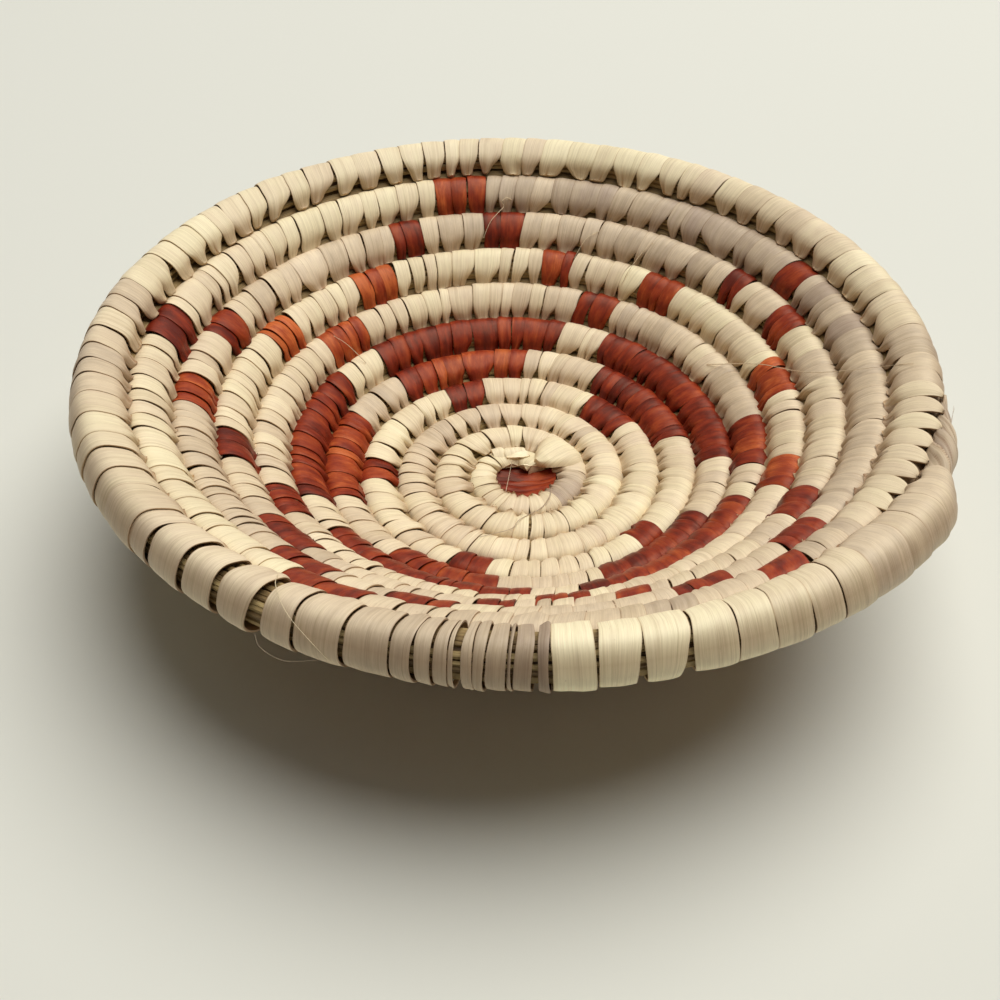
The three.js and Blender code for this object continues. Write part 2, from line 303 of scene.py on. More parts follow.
def on_coil(turn, out, up, floor=GROUND):
    """Points at a turn, `out` from the middle line along the wall and `up` through it. The underside is
    pressed flat on the surface that the bowl stands on."""
    angle = math.tau * turn
    lean = slope(turn)
    reach = radius_at(turn) + out * np.cos(lean) - up * np.sin(lean)
    rise = height_at(turn) + out * np.sin(lean) + up * np.cos(lean)
    return np.stack([reach * np.cos(angle), reach * np.sin(angle), np.maximum(rise, floor)], -1)


def coil_half(turn):
    """Half width and half depth of the wrapped coil, and how far its middle is shifted outwards. It narrows
    at the tail, where it keeps its inner edge, and is thinner in the first turn, where it keeps its outer."""
    share = np.clip((turn - END_TURN) / NECK_LENGTH, 0, 1)
    narrow = mix(1.0, TAIL_WIDTH / 2 / half_width(END_TURN), smooth(0, 1, share))
    thin = START_THIN / 2 * (1 - smooth(*START_GROWS, turn))
    width = half_width(turn)
    return width * narrow - thin, half_depth(turn) * narrow, width * (narrow - 1) + thin


def rounded(value, squareness):
    """Turns a cosine or a sine into the same for the coil's squarer section."""
    return np.sign(value) * np.abs(value) ** (2 / squareness)


def on_section(turn, psi, lift):
    """Places round the section, out along the wall and up through it. Angle 0 is the valley with the row
    before, 90 the inside of the bowl, 180 the valley with the next row and 270 the outside."""
    width, depth, shift = coil_half(turn)
    squareness = mix(SQUARENESS, RIM_SQUARENESS, smooth(*RIM_SQUARES, turn))
    out = shift - (width + LEAF_SWELL + lift) * rounded(np.cos(psi), squareness)
    dip = START_DIP * (1 - smooth(*START_GROWS, turn))
    up = (depth + lift - dip * (np.sin(psi) > 0)) * rounded(np.sin(psi), squareness)
    return out, up


# Meshes
def circle(sides):
    return np.linspace(0, math.tau, sides + 1)[:-1]


def stacked(*values):
    """Three values for each point, from numbers or arrays."""
    return np.stack(np.broadcast_arrays(*values), -1)


def across_strip(places, under):
    """Places across a strip, and last two more under its edges. The second array is 1 for those two."""
    return np.array([*places, under, -under]), np.array([0] * len(places) + [1, 1])


def through(stops, steps):
    """A smooth line through the points of `stops`."""
    padded = np.concatenate([[2 * stops[0] - stops[1]], stops, [2 * stops[-1] - stops[-2]]])
    line = []
    for before, start, end, after in zip(padded, padded[1:], padded[2:], padded[3:]):
        share = np.arange(steps)[:, None] / steps
        line.append(0.5 * (2 * start + (end - before) * share
                           + (2 * before - 5 * start + 4 * end - after) * share ** 2
                           + (3 * start - before - 3 * end + after) * share ** 3))
    return np.concatenate([*line, stops[-1:]])


def unit(vectors):
    return vectors / np.linalg.norm(vectors, axis=1)[:, None]


def add_object(name, data):
    obj = bpy.data.objects.new(name, data)
    bpy.context.scene.collection.objects.link(obj)
    return obj


class Build:
    """Collects the points, faces and point values of one piece."""

    def __init__(self):
        self.points, self.faces, self.grain, self.look = [], [], [], []
        self.count = 0

    def grid(self, points, grain, look):
        """Closed bands of rings: `points` is bands x rings x points round a ring x 3. `grain` and `look` have
        three values for each point, or the same three for all."""
        bands, rings, sides = points.shape[:3]
        first = self.count + np.arange(bands * rings * sides).reshape(bands, rings, sides)
        a, b = first[:, :-1, :], first[:, 1:, :]
        quads = np.stack([a, np.roll(a, -1, 2), np.roll(b, -1, 2), b], -1)
        self.faces += quads.reshape(-1, 4).tolist()
        self.faces += first[:, 0, ::-1].tolist()
        self.faces += first[:, -1, :].tolist()
        self.points.append(points.reshape(-1, 3))
        self.grain.append(np.broadcast_to(grain, points.shape).reshape(-1, 3))
        self.look.append(np.broadcast_to(look, points.shape).reshape(-1, 3))
        self.count += bands * rings * sides

    def piece(self, name, material, smooth_angle=50):
        mesh = bpy.data.meshes.new(name)
        mesh.from_pydata((np.concatenate(self.points) * MM).tolist(), [], self.faces)
        for title, values in (("grain", self.grain), ("look", self.look)):
            layer = mesh.attributes.new(title, "FLOAT_VECTOR", "POINT")
            layer.data.foreach_set("vector", np.concatenate(values).astype(np.float32).ravel())
        mesh.materials.append(material)
        mesh.shade_smooth()
        mesh.set_sharp_from_angle(angle=math.radians(smooth_angle))
        return add_object(name, mesh)


def settle(obj, node):
    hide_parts(node)
    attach(obj, "root")


# Materials. Each noise: its stretch across a strip, along it and from strip to strip, detail and roughness
LEAF_NOISES = [
    ((5.0, 0.08, 17.0), 4.0, 0.7),  # fibres
    ((1.7, 0.04, 31.0), 2.0, 0.6),  # veins
    ((0.35, 0.14, 11.0), 3.0, 0.6),  # blotches
    ((0.9, 0.5, 5.0), 4.0, 0.7),  # marks
]
STEM_NOISE = ((3.0, 0.12, 7.0), 3.0, 0.6)
NOISE_SPAN = (0.3, 0.7)  # where most of the noise lies
STREAKS = (0.34, 0.62, 0.88, 1.05)  # two values of the noise, and the light at each
LINE_SPAN = (0.34, 0.5)
MARKS = (0.66, 0.8, 0.0, 0.5)  # the same for a mark's strength
GREEN_BROWNING = 1.15  # dark places are browner, because their green and blue fall off faster
BLUE_BROWNING = 1.4
LEAF_WEAR = (-0.08, 0.14)  # how the fibres change the roughness
LEAF_SPECULAR = 0.28
LEAF_BUMP = 0.6
FIBRE_RELIEF = 0.3
STEM_TONE_SPREAD = (-0.25, 0.25)
STEM_ROUGHNESS = 0.62
STEM_SPECULAR = 0.3
STEM_BUMP = 0.5
BUMP_DISTANCE = 0.0002
# the brown towards which painted shade in valleys, creases and along strip edges darkens the leaf
PAINTED_SHADE_TINT = (0.4, 0.24, 0.13)


def new_material(name):
    material = bpy.data.materials.new(name)
    material.use_nodes = True
    tree = material.node_tree
    tree.nodes.clear()
    output = tree.nodes.new("ShaderNodeOutputMaterial")
    shader = tree.nodes.new("ShaderNodeBsdfPrincipled")
    tree.links.new(shader.outputs["BSDF"], output.inputs["Surface"])
    return material, tree, shader


def node(tree, kind, settings=None, **inputs):
    made = tree.nodes.new(kind)
    for key, value in (settings or {}).items():
        setattr(made, key, value)
    for key, value in inputs.items():
        socket = made.inputs[int(key[1:])] if key[0] == "i" and key[1:].isdigit() else made.inputs[key]
        if isinstance(value, bpy.types.NodeSocket):
            tree.links.new(value, socket)
        else:
            socket.default_value = value
    return made


def maths(tree, operation, first, second):
    return node(tree, "ShaderNodeMath", {"operation": operation}, i0=first, i1=second).outputs[0]


def spread(tree, value, low, high, new_low, new_high):
    """Takes `low` to `new_low` and `high` to `new_high`, and stays there beyond them."""
    return node(tree, "ShaderNodeMapRange", {"clamp": True}, i0=value, i1=low, i2=high, i3=new_low,
                i4=new_high).outputs[0]


def ramp(tree, value, stops):
    made = node(tree, "ShaderNodeValToRGB", i0=value)
    elements = made.color_ramp.elements
    while len(elements) < len(stops):
        elements.new(0.5)
    for element, (place, colour) in zip(elements, stops):
        element.position = place
        element.color = (*linear(*colour), 1)
    return made.outputs[0]


def blend_colour(tree, kind, share, first, second):
    made = node(tree, "ShaderNodeMix", {"data_type": "RGBA", "blend_type": kind, "clamp_factor": True},
                i0=share, i6=first, i7=second)
    return made.outputs[2]


def point_values(tree):
    """The point values `grain` and `look` of the piece."""
    found = [node(tree, "ShaderNodeAttribute", {"attribute_name": name}) for name in ("grain", "look")]
    return [made.outputs["Vector"] for made in found]


def noise(tree, grain, stretch, detail, roughness):
    vector = node(tree, "ShaderNodeVectorMath", {"operation": "MULTIPLY"}, i0=grain, i1=stretch).outputs[0]
    return node(tree, "ShaderNodeTexNoise", {"noise_dimensions": "3D"}, Vector=vector, Scale=1.0,
                Detail=detail, Roughness=roughness).outputs["Fac"]


def roughen(tree, shader, strength, relief):
    bump = node(tree, "ShaderNodeBump", Strength=strength, Distance=BUMP_DISTANCE, Height=relief)
    tree.links.new(bump.outputs[0], shader.inputs["Normal"])


def linear(*screen):
    """A colour given as 0 to 255 screen values."""
    shares = [value / 255 for value in screen]
    return tuple(((share + 0.055) / 1.055) ** 2.4 if share > 0.04 else share / 12.92 for share in shares)


NATURAL_STOPS = [(0.0, (184, 163, 142)), (0.25, (206, 186, 158)), (0.5, (227, 206, 174)),
                 (0.75, (239, 221, 185)), (1.0, (247, 233, 193))]
RUSSET_STOPS = [(0.0, (92, 26, 14)), (0.35, (136, 46, 24)), (0.7, (168, 72, 36)), (1.0, (204, 106, 56))]
STEM_STOPS = [(0.0, (84, 64, 40)), (0.5, (152, 126, 82)), (1.0, (198, 174, 120))]


def leaf_material(name, stops, roughness, gloss, stain, vein_depth, blotch, line_light):
    """Palm leaf. `gloss` tints its highlights. The piece's `grain` holds the place across and along a strip
    and the strip's own number. Its `look` holds the tone, the shade and the painted shade: how darkly a point
    is painted in a valley, a crease or along a strip's edge, where shade falls."""
    material, tree, shader = new_material(name)
    grain, look = point_values(tree)
    tone, shade, painted_shade = node(tree, "ShaderNodeSeparateXYZ", i0=look).outputs
    fibres, veins, blotches, marks = [noise(tree, grain, *values) for values in LEAF_NOISES]

    shifted = maths(tree, "ADD", tone, spread(tree, blotches, *NOISE_SPAN, -blotch, blotch))
    colour = ramp(tree, shifted, stops)
    streaks = spread(tree, fibres, *STREAKS)
    lines = spread(tree, veins, *LINE_SPAN, line_light, 1.0)
    light = maths(tree, "MULTIPLY", maths(tree, "MULTIPLY", streaks, lines), shade)
    green = maths(tree, "POWER", light, GREEN_BROWNING)
    blue = maths(tree, "POWER", light, BLUE_BROWNING)
    browned = node(tree, "ShaderNodeCombineXYZ", i0=light, i1=green, i2=blue).outputs[0]
    colour = blend_colour(tree, "MULTIPLY", 1.0, colour, browned)
    # painted shade: darker and browner in the valleys, creases and along strip edges
    colour = blend_colour(tree, "MULTIPLY", painted_shade, colour, (*PAINTED_SHADE_TINT, 1))
    marked = spread(tree, marks, *MARKS)
    colour = blend_colour(tree, "MIX", marked, colour, (*linear(*stain), 1))
    tree.links.new(colour, shader.inputs["Base Color"])

    low, high = [roughness + change for change in LEAF_WEAR]
    tree.links.new(spread(tree, fibres, *NOISE_SPAN, low, high), shader.inputs["Roughness"])
    veined = maths(tree, "MULTIPLY", veins, vein_depth)
    fibrous = maths(tree, "MULTIPLY", fibres, FIBRE_RELIEF)
    roughen(tree, shader, LEAF_BUMP, maths(tree, "ADD", veined, fibrous))
    shader.inputs["Specular IOR Level"].default_value = LEAF_SPECULAR
    shader.inputs["Specular Tint"].default_value = (*gloss, 1)
    return material


def stem_material():
    material, tree, shader = new_material("grass_stem")
    grain, look = point_values(tree)
    tone = node(tree, "ShaderNodeSeparateXYZ", i0=look).outputs[0]
    streaks = noise(tree, grain, *STEM_NOISE)
    value = maths(tree, "ADD", tone, spread(tree, streaks, *NOISE_SPAN, *STEM_TONE_SPREAD))
    tree.links.new(ramp(tree, value, STEM_STOPS), shader.inputs["Base Color"])
    roughen(tree, shader, STEM_BUMP, streaks)
    shader.inputs["Roughness"].default_value = STEM_ROUGHNESS
    shader.inputs["Specular IOR Level"].default_value = STEM_SPECULAR
    return material


natural_leaf = leaf_material(
    "natural_leaf_strip", NATURAL_STOPS, roughness=0.45, gloss=(1.0, 0.98, 0.94), stain=(166, 130, 92),
    vein_depth=0.9, blotch=0.12, line_light=0.89)
russet_leaf = leaf_material(
    "russet_leaf_strip", RUSSET_STOPS, roughness=0.36, gloss=(1.0, 0.66, 0.48), stain=(84, 24, 12),
    vein_depth=0.7, blotch=0.34, line_light=0.86)
grass = stem_material()


# Runs of strips
def block_place(name):
    """The row of a russet block and its place in that row, from its name."""
    row, place = name.removeprefix(RUSSET_PREFIX).split("_")
    return int(row), int(place)


def block_span(name):
    """Where a block starts and ends along the coil, from the angles of its corners."""
    corners = np.array([v.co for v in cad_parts[name].data.vertices], float)
    places = np.arctan2(corners[:, 1], corners[:, 0]) / math.tau
    angles = places * math.tau
    middle = math.atan2(np.sin(angles).mean(), np.cos(angles).mean()) / math.tau
    offsets = (places - middle + 0.5) % 1 - 0.5
    middle = middle % 1
    if middle > 0.97 and offsets.max() + middle > 1.0:
        middle -= 1
    row_start = block_place(name)[0] - 1
    return row_start + middle + offsets.min(), row_start + middle + offsets.max()


russets = {name: block_span(name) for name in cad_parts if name.startswith(RUSSET_PREFIX)}


def stretch_at(turn):
    row = min(int(turn) + 1, LAST_ROW)
    degrees = (turn % 1) * 360
    return [stretch for stretch in NATURAL_STRETCHES[row] if degrees >= stretch[0]][-1]


def natural_width(turn):
    return stretch_at(turn)[2]


def lay_strips(rng, start, end, width_at, unevenness, parted):
    """Starts and ends, in turns, of the strips that fill a run of the coil. Most overlap a little or meet
    edge to edge. The share `parted` of them leaves a gap."""
    widths = []
    place = start
    while place < end:
        width = width_at(place) * math.exp(rng.normal(0, unevenness))
        widths.append(turns_for(width, place))
        place += widths[-1]
    if len(widths) > 1 and place - end > widths[-1] / 2:
        widths.pop()
    widths = np.array(widths) * (end - start) / sum(widths)
    edges = start + np.concatenate([[0], np.cumsum(widths)])
    kinds = rng.uniform(0, 1, len(edges))
    overlaps, slits, openings = [rng.uniform(*gap, len(edges)) for gap in (OVERLAPS, SLITS, OPEN_GAPS)]
    gaps = np.where(kinds < OVERLAP_SHARE, overlaps, slits)
    gaps = np.where(kinds > 1 - parted, openings, gaps)
    gaps = turns_for(gaps, edges) / 2
    gaps[[0, -1]] = turns_for(END_GAP, start)
    return edges[:-1] + gaps[:-1], edges[1:] - gaps[1:]


def drifting(rng, count, spread_out):
    """Random values that change slowly from one strip to the next."""
    steps = rng.normal(0, 1, count + DRIFT_STEPS - 1)
    return np.convolve(steps, np.ones(DRIFT_STEPS) / DRIFT_STEPS ** 0.5, "valid") * spread_out


def wrap_strips(build, rng, left, right, tones, shades, tips, notch=NOTCH, slants=None, reach=TIP_REACH,
                flaps=False, sink=STRIP_SINK):
    """One closed strip of leaf once round the coil for each start and end in `left` and `right`. It gathers
    to a tip at both ends, which lies over the edge of the row before. `tips` is the tips' width, `notch` how
    much a strip may lose in the valley with the next row, and `slants` how much its end loses on the coil's
    outside, all as parts of its own width. With `flaps` a strip also runs out over the next row to a point.
    Tones, shades and tips have a value for each strip, or one for all."""
    count = len(left)

    def draw(low, high):
        return rng.uniform(low, high, count)[:, None, None]

    def each(values):
        return np.broadcast_to(values, count)[:, None, None]

    across, inner = across_strip(STRIP_PLACES, UNDER_PLACE)
    ends = np.array(TIP_ANGLES)
    between = np.linspace(ends[-1], 360 - ends[-1], STRIP_ANGLES)[1:-1]
    degrees = np.concatenate([ends, between, 360 - ends[::-1]])[:, None]
    psi = np.radians(degrees)
    near = np.degrees(np.minimum(psi, math.tau - psi))
    far = 180 - near

    # Outline: where both edges lie along the coil
    middle = each((left + right) / 2)
    per_turn = math.tau * radius_at(middle)
    length = each(right - left) * per_turn
    gathered = np.clip(1 - (near - ends[0]) / draw(*GATHER_SPAN), 0, 1) ** draw(*GATHER_CURVE)
    pinched = np.clip(1 - far / draw(*PINCH_SPAN), 0, 1) ** draw(*PINCH_CURVE)
    slant = 0 if slants is None else each(slants) * smooth(*SLANT_ANGLES, degrees)
    tip_cut = gathered * (1 - each(tips))
    notch_cut = pinched * draw(0, 1) ** 2 * notch
    tip_side, notch_side = draw(*TIP_SIDE), draw(*PINCH_SIDE)
    wander = [EDGE_WANDER * np.sin(psi * draw(*WANDER_WAVES) + draw(*ANY_PHASE)) for edge in (0, 1)]
    start = (tip_cut * tip_side + notch_cut * notch_side - 0.5) * length + wander[0]
    end = (0.5 - tip_cut * (1 - tip_side) - notch_cut * (1 - notch_side) - slant) * length + wander[1]
    lean = (STRIP_LEAN + each(drifting(rng, count, LEAN_DRIFT))) * length.mean() * np.cos(psi)
    bow = each(drifting(rng, count, BOW_DRIFT)) * np.sin(2 * psi + draw(*BOW_PHASE))
    blunt = np.clip((ends[0] + TIP_ROUND - near) / TIP_ROUND, 0, 0.98)
    centre, half = (start + end) / 2, (end - start) / 2 * np.sqrt(1 - blunt ** 2)
    pointed = np.clip((degrees - FLAP_ANGLE) / (FLAP_END - FLAP_ANGLE), 0, 1) * flaps
    pointed = pointed * (degrees <= FLAP_END)
    narrowing, leaning, rising = [pointed ** power for power in FLAP_CURVES]
    half = half * (1 - FLAP_TAPER * narrowing)
    centre = centre - FLAP_LEAN / 360 * per_turn * pointed - length / 2 * leaning
    places = middle + (centre + half * across + lean * (1 - pointed) + bow) / per_turn

    # Relief: how far the surface lies over the coil's own section
    crown = STRIP_CROWN * draw(*CROWNS) * (1 - across ** 4) * (1 + TIP_CROWN * gathered)
    tilt = STRIP_TILT * draw(*TILTS) * across
    folds = draw(*FOLD_DEPTHS) * np.cos(across * draw(*FOLD_WAVES) + draw(*ANY_PHASE))
    folds = folds * (0.1 + gathered)
    lump = LUMP_DEPTH * np.cos(psi * 2 + draw(*ANY_PHASE)) * draw(0, 1)
    roll = TIP_ROLL * draw(*ROLLS) * gathered * across ** 2
    crease_place, pleat_place = draw(*CREASE_PLACES), draw(*PLEAT_PLACES)
    started = gathered ** 0.6
    crease = np.exp(-((across - crease_place) / CREASE_WIDTH) ** 2) * started * draw(0, 1)
    from_pleat = (across - pleat_place) / CREASE_WIDTH
    pleat = smooth(-0.5, 0.5, from_pleat) * draw(0, 1) * started * (1 - across ** 6)
    folds = folds - CREASE_DEPTH * crease + PLEAT_DEPTH * pleat
    thickness = inner * LEAF_THICKNESS
    lift = crown + tilt + folds + lump - roll + draw(*LEVELS) - sink - thickness
    out, up = on_section(places, psi, lift)

    # Tips over the row before, and flaps over the next row
    width, depth, offset = coil_half(places)
    bridged = np.clip((TIP_ANGLE - near) / (TIP_ANGLE - ends[0]), 0, 1)
    out = mix(out, offset - width - reach * draw(*TIP_REACHES) + inner * 0.1, bridged)
    tip_up = TIP_RISE * depth / COIL_DEPTH_WALL * 2 + crown + folds * 0.5 - thickness
    up = mix(up, tip_up * np.sign(np.pi - psi) - roll * 0.5, bridged)
    out = mix(out, width + FLAP_REACH * draw(*FLAP_REACHES) - inner * 0.2, pointed)
    up = mix(up, FLAP_RISE * draw(*FLAP_RISES) - thickness + FLAP_CROWN * (1 - across ** 2), rising)
    points = on_coil(places, out, up, GROUND + thickness * 0.8)

    # Point values
    grain = stacked(across * length / 2, psi * half_width(middle), draw(*GRAIN_STARTS))
    # painted shade near both valleys, along the strip's edges, in its creases and beside its pleats
    painted_shade = TIP_PAINTED_SHADE * np.clip(1 - near / TIP_SPAN, 0, 1) ** TIP_CURVE
    painted_shade = painted_shade + NEXT_PAINTED_SHADE * np.clip(1 - far / NEXT_SPAN, 0, 1)
    painted_shade = np.maximum(painted_shade, (np.abs(across) > EDGE_PLACE) * EDGE_PAINTED_SHADE)
    beside_pleat = np.exp(-(from_pleat + 0.4) ** 2) * pleat.max(axis=2, keepdims=True)
    painted_shade = np.clip(painted_shade + CREASE_PAINTED_SHADE * crease + PLEAT_PAINTED_SHADE * beside_pleat, 0, 1)
    build.grid(points, grain, stacked(each(tones), each(shades), painted_shade))


# Leaf at the coil's start
RIBBON_PLACES = (-1, -0.75, -0.4, 0, 0.4, 0.75, 1)
RIBBON_DROP = 1.5  # how far the edges of a 10 mm wide ribbon bend down
RIBBON_FOLDS = (0.1, 0.25)
RIBBON_WAVES = (2, 4)
RIBBON_GRAIN = 12  # its length in the grain
RIBBON_PAINTED_SHADE = 0.4  # at its ends
SMOOTHING = 6

# The coil's rounded end, under the broad leaf: its rings in turns, and their size
START_RINGS = (0.012, -0.004, -0.018, -0.028)
START_SCALES = (0.9, 0.7, 0.45, 0.1)
START_TUCK = 4  # how far it runs outwards
START_SINK = 1.2

# The broad leaf over the coil's start, seen from above: points along its left and its right edge, from the
# hollow outwards, and its height at each distance from the middle
COVER_LEFT = [(4.3, 4.7), (4.8, 7.4), (5.7, 10.4), (7.0, 13.4), (8.4, 16.4)]
COVER_RIGHT = [(6.2, 2.5), (9.0, 1.2), (12.2, 1.2), (15.6, 1.6), (18.8, 2.6)]
COVER_BULGE = (3.4, 2.8)
COVER_RADII = (3, 4.4, 6, 9, 12, 15.6, 18, 20.5)
COVER_HEIGHTS = (3.6, 4.8, 7.0, 8.2, 8.5, 8.5, 7.6, 4.9)
COVER_DROP = 2.1  # at its edges
COVER_END = 0.85  # where its outer end starts to bend down
COVER_END_DROP = 0.6
COVER_WIDTHS = (2.0, 7.0)  # half its width and its length in the grain
COVER_GRAIN = 16
COVER_TONE = 0.9
COVER_SHADE = 1.02
COVER_PAINTED_SHADE = 0.45

# Pale ends of leaf that hang into the hollow: points, widths and shade
START_TIPS = [
    ([(-6.4, 10.4, 6.6), (-5.9, 8.4, 7.4), (-5.4, 6.2, 6.2), (-5.1, 4.4, 4.2)], (3.4, 3.6, 3.2, 2.0), 1.12),
    ([(-1.3, 10.6, 6.6), (-1.1, 8.6, 7.5), (-0.7, 6.6, 6.4), (-0.3, 4.6, 4.4)], (5.8, 6.4, 6.0, 3.6), 1.1),
    ([(-3.4, 8.0, 6.6), (-0.6, 7.8, 7.1), (1.6, 7.3, 6.8), (3.4, 6.8, 6.2)], (4.2, 4.8, 3.4, 0.4), 1.16),
    ([(-0.2, 5.4, 4.8), (1.4, 5.2, 5.7), (3.4, 4.7, 5.9), (5.4, 4.0, 5.4)], (0.8, 3.4, 3.6, 1.4), 1.16),
]
TIP_TONE = 0.85


def ribbon(build, rng, stops, widths, tone, shade):
    """A strip of leaf through the points of `stops`, level across."""
    line = through(np.array(stops, float), SMOOTHING)
    along = np.linspace(0, 1, len(line))[:, None]
    width = np.interp(along, np.linspace(0, 1, len(widths)), widths)
    side = unit(np.cross(np.gradient(line, axis=0), [0, 0, 1.0]))
    across, inner = across_strip(RIBBON_PLACES, 0.95)
    points = line[:, None] + side[:, None] * (across * width / 2)[..., None]
    fold = rng.uniform(*RIBBON_FOLDS) * np.cos(across * rng.uniform(*RIBBON_WAVES) + rng.uniform(*ANY_PHASE))
    drop = RIBBON_DROP * (width / 10) ** 2 * np.abs(across) ** 3
    points[..., 2] += fold - drop - inner * LEAF_THICKNESS
    grain = stacked(across * width / 2, along * RIBBON_GRAIN, rng.uniform(*GRAIN_STARTS))
    # painted shade towards the ribbon's ends
    painted_shade = RIBBON_PAINTED_SHADE * np.abs(2 * along - 1) ** 4 + 0 * across
    build.grid(points[None], grain, stacked(tone, shade, painted_shade))


def coil_end(build):
    turns = LEAF_START + np.array(START_RINGS)[:, None]
    scale = np.array(START_SCALES)[:, None]
    out, up = on_section(turns, circle(24), -STRIP_SINK)
    middle = coil_half(turns)[2]
    out = middle + (out - middle) * scale + START_TUCK * (1 - scale)
    points = on_coil(turns, out, up * scale - START_SINK * (1 - scale))
    # the rounded end, under the broad leaf, gets a little painted shade all over
    build.grid(points[None], points, (0.75, 1.0, 0.2))


def start_leaf(build, rng):
    """The leaf over the coil's start: a rounded end, a broad leaf that also covers the row beside it, and
    pale tips that hang into the hollow."""
    coil_end(build)
    left, right = [through(np.array(edge), SMOOTHING)[:, None] for edge in (COVER_LEFT, COVER_RIGHT)]
    along = np.linspace(0, 1, len(left))[:, None]
    across, inner = across_strip(np.linspace(-1, 1, 17), UNDER_PLACE)
    level = mix(left, right, (across[:, None] + 1) / 2)
    level = level + np.array(COVER_BULGE) * ((1 - across ** 2) * along ** 1.5)[..., None]
    height = np.interp(np.linalg.norm(level, axis=2), COVER_RADII, COVER_HEIGHTS)
    fold = 0.12 * np.cos(across * 5 + 1) * (1.2 - along) + 0.25 * np.cos(across * 1.3 - 0.4)
    past = np.clip((along - COVER_END) / (1 - COVER_END), 0, 1)
    drop = COVER_DROP * np.abs(across) ** 5 + COVER_END_DROP * past ** 2
    height = height + fold - drop - inner * LEAF_THICKNESS
    points = np.concatenate([level, height[..., None]], 2)
    grain = stacked(across * mix(*COVER_WIDTHS, along), along * COVER_GRAIN, 3.0)
    # painted shade along the broad leaf's edges
    look = stacked(COVER_TONE, COVER_SHADE, COVER_PAINTED_SHADE * np.abs(across) ** 6)
    build.grid(points[None], grain, look)
    for stops, widths, shade in START_TIPS:
        ribbon(build, rng, stops, widths, TIP_TONE, shade)


# Wraps
def tail_flaps(build, rng):
    """Row 10's strips beside the tail, which end in flaps over it, and a lining under the flaps."""
    left = RIM_TURN - 1 + (np.array(TAIL_FLAPS) + FLAP_LEAN) / 360
    right = left + FLAP_SPAN / 360
    tones = FLAP_TONE + rng.normal(0, FLAP_TONE_SPREAD, len(left))
    tips = rng.uniform(*FLAP_TIPS, len(left))
    wrap_strips(build, rng, left, right, tones, 1, tips, 0, flaps=True)
    sink = STRIP_SINK + LINING_SINK
    wrap_strips(build, rng, left, right, LINING_TONE, LINING_SHADE, LINING_TIP, 0, sink=sink)
    return left[0], right[-1]


def rim_front(build, rng):
    left, right, tones, shades, slants = np.array(RIM_FRONT).T
    left, right = RIM_TURN + left / 360, RIM_TURN + right / 360
    tips = rng.uniform(*RIM_FRONT_TIPS, len(left))
    wrap_strips(build, rng, left, right, tones, shades, tips, RIM_FRONT_NOTCH, slants)
    return left[0], right[-1]


def natural_run(build, rng, row, start, end):
    unevenness = RIM_UNEVENNESS if row > RIM_TURN else UNEVENNESS
    left, right = lay_strips(rng, start, end, natural_width, unevenness, PARTED)
    count = len(left)
    tones = np.array([stretch_at(turn)[1] for turn in left]) + rng.normal(0, TONE_SPREAD, count)
    shades = 1 + rng.normal(0, SHADE_SPREAD, count)
    if row == 1:
        wrap_strips(build, rng, left, right, tones, shades, rng.uniform(*FIRST_TIPS, count), reach=0)
    else:
        tips = mix(*(RIM_TIPS if row >= RIM_TURN else NATURAL_TIPS), rng.beta(*TIP_MIX, count))
        wrap_strips(build, rng, left, right, tones, shades, tips, RIM_NOTCH if row > RIM_TURN else NOTCH)


def natural_row(row):
    """The natural strips of one row, between its russet blocks."""
    rng = np.random.default_rng(SEED + row)
    build = Build()
    place = row - 1 if row > 1 else LEAF_START
    end = min(row, END_TURN)
    spans = sorted(span for span in russets.values() if span[1] > place and span[0] < end)
    if row == RIM_TURN:
        spans.append(tail_flaps(build, rng))
    if row > RIM_TURN:
        spans.append(rim_front(build, rng))
    for block_start, block_end in [*spans, (end, end)]:
        if block_start > place + turns_for(LEAST_RUN, place):
            natural_run(build, rng, row, place, block_start)
        place = block_end
    if row == 1:
        start_leaf(build, rng)
    piece = build.piece(f"natural_leaf_row{row:02d}", natural_leaf)
    settle(piece, f"natural_wrap_row{row:02d}")


def russet_block(name, index):
    rng = np.random.default_rng(RUSSET_SEED + index)
    row, place = block_place(name)
    build = Build()
    left, right = lay_strips(rng, *russets[name], lambda turn: RUSSET_WIDTH, RUSSET_UNEVENNESS, 0.0)
    tones = RUSSET_TONES[row][place - 1] + rng.normal(0, RUSSET_TONE_SPREAD, len(left))
    shades = 1 + rng.normal(0, RUSSET_SHADE_SPREAD, len(left))
    tips = rng.uniform(*RUSSET_TIPS, len(left))
    wrap_strips(build, rng, left, right, tones, shades, tips, RUSSET_NOTCH)
    settle(build.piece(name.replace("wrap", "leaf"), russet_leaf), name)


# Grass stems
STEM_COUNT = 18
STEM_RADIUS = 0.78
STEM_INSET = 1.95  # from the outside of the wrapped coil to the middle of an outer stem
STEM_STEP = 3.0  # along the coil
STEM_END = 0.2  # as a part of the tail's length
STEM_WANDER = 0.10
STEM_SWELL = 0.15
STEM_BENDS = 160  # changes of place and size along the coil
STEM_SWELLS = 200
STEM_RAGGED = (0, 3.5)  # how far a stem ends short of the tip
STEM_TONES = (0.25, 0.8)
CORE_INSET = 2.2
CORE_TONE = 0.0
VALLEY_START = 1.05  # of the stems under the valley between two rows
VALLEY_TONE = 0.45
VALLEY_WIDTH = 4.4
VALLEY_DEPTH = 3.0


def wavering(rng, turns, count, amount):
    """A random value that changes along the coil."""
    return np.interp(turns, np.linspace(0, LAST_ROW, count), rng.normal(0, amount, count))


